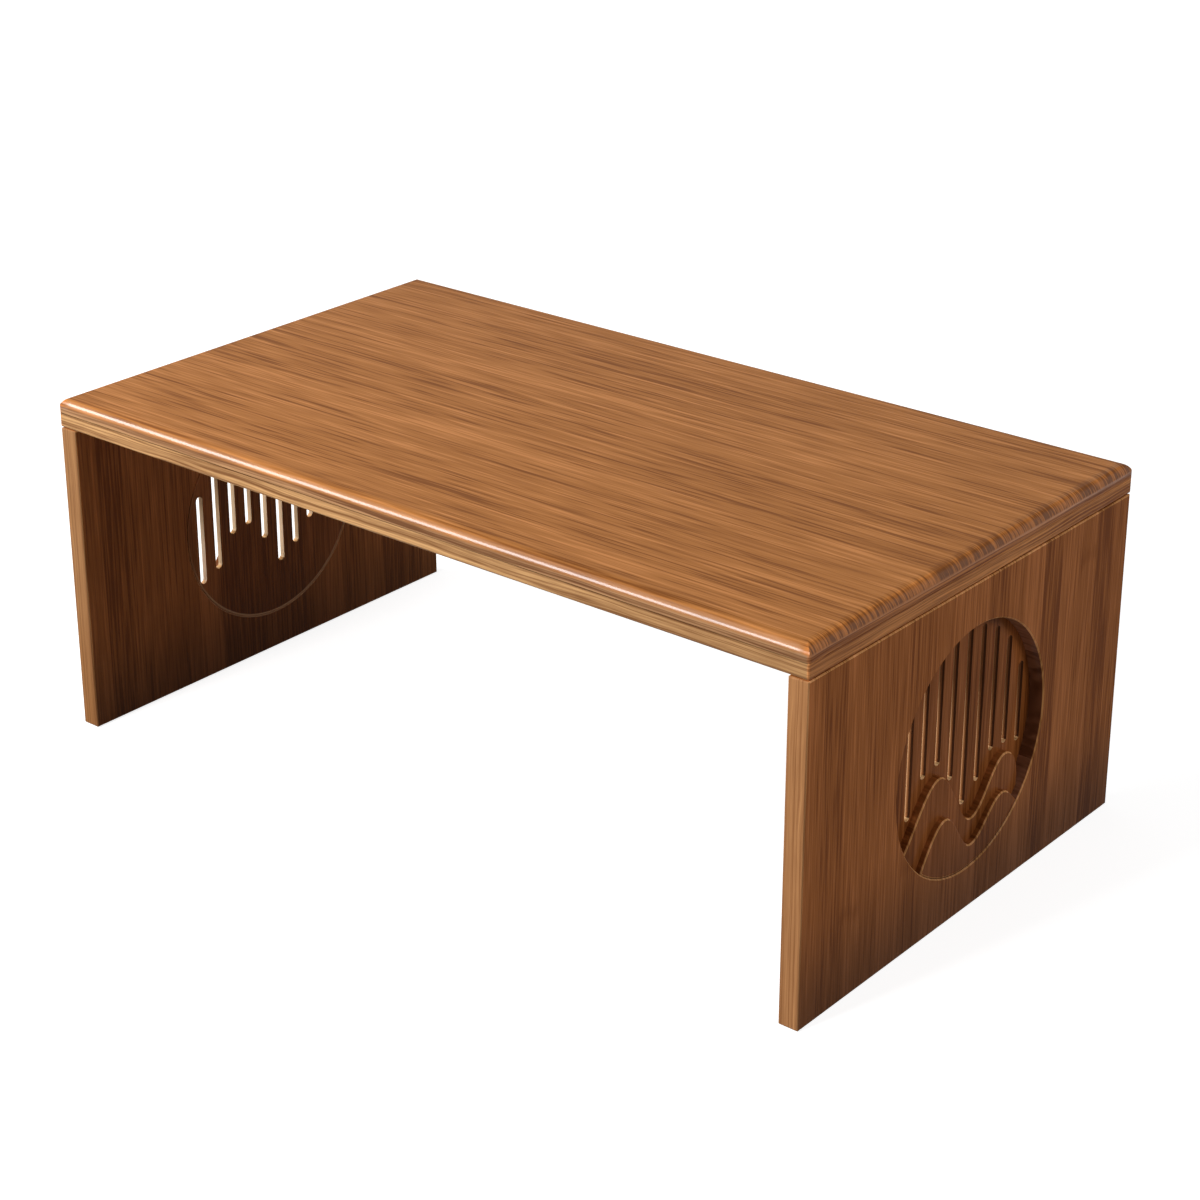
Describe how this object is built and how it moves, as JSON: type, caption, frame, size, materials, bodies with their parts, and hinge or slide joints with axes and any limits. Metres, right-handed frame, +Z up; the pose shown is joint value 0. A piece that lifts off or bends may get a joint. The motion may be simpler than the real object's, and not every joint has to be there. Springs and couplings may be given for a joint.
{
  "type": "folding floor table",
  "caption": "Low folding floor table: rounded laminated bamboo top on slab legs with round pierced hill carvings; the legs fold flat underneath on sprung steel hinges.",
  "frame": {"origin": "on the floor, at the middle of the table's length and depth", "axes": "+X along the length to the right, +Y from the front edge to the back, +Z up"},
  "size_m": [0.7, 0.4, 0.276],
  "materials": {
    "bamboo_top": "satin lacquered carbonised bamboo, strips lengthwise",
    "bamboo_leg": "satin lacquered carbonised bamboo, strips upright",
    "bamboo_carving": "satin lacquered carved bamboo",
    "bracket_steel": "bright zinc plated",
    "rivet_steel": "plated, domed",
    "spring_steel": "blued spring steel",
    "screw_steel": "bright zinc plated"
  },
  "bodies": {
    "top": {"tabletop": "bamboo_top", "left_front_top_bracket": "bracket_steel", "left_front_pivot_rivet": "rivet_steel", "left_front_leaf_spring": "spring_steel", "left_front_spring_rivet": "rivet_steel", "left_front_top_screws": "screw_steel", "left_back_top_bracket": "bracket_steel", "left_back_pivot_rivet": "rivet_steel", "left_back_leaf_spring": "spring_steel", "left_back_spring_rivet": "rivet_steel", "left_back_top_screws": "screw_steel", "right_front_top_bracket": "bracket_steel", "right_front_pivot_rivet": "rivet_steel", "right_front_leaf_spring": "spring_steel", "right_front_spring_rivet": "rivet_steel", "right_front_top_screws": "screw_steel", "right_back_top_bracket": "bracket_steel", "right_back_pivot_rivet": "rivet_steel", "right_back_leaf_spring": "spring_steel", "right_back_spring_rivet": "rivet_steel", "right_back_top_screws": "screw_steel"},
    "left_leg_body": {"left_leg": "bamboo_leg", "left_medallion": "bamboo_carving", "left_front_leg_bracket": "bracket_steel", "left_front_leg_screws": "screw_steel", "left_back_leg_bracket": "bracket_steel", "left_back_leg_screws": "screw_steel"},
    "right_leg_body": {"right_leg": "bamboo_leg", "right_medallion": "bamboo_carving", "right_front_leg_bracket": "bracket_steel", "right_front_leg_screws": "screw_steel", "right_back_leg_bracket": "bracket_steel", "right_back_leg_screws": "screw_steel"}
  },
  "joints": [
    {"name": "left_leg_fold", "type": "hinge", "parent": "top", "child": "left_leg_body", "pos_m": [-0.3235, 0, 0.242], "axis": [0, -1, 0], "range_deg": [0, 90], "deforming": ["left_front_leaf_spring", "left_back_leaf_spring"]},
    {"name": "right_leg_fold", "type": "hinge", "parent": "top", "child": "right_leg_body", "pos_m": [0.3235, 0, 0.242], "axis": [0, 1, 0], "range_deg": [0, 90], "deforming": ["right_front_leaf_spring", "right_back_leaf_spring"]}
  ]
}
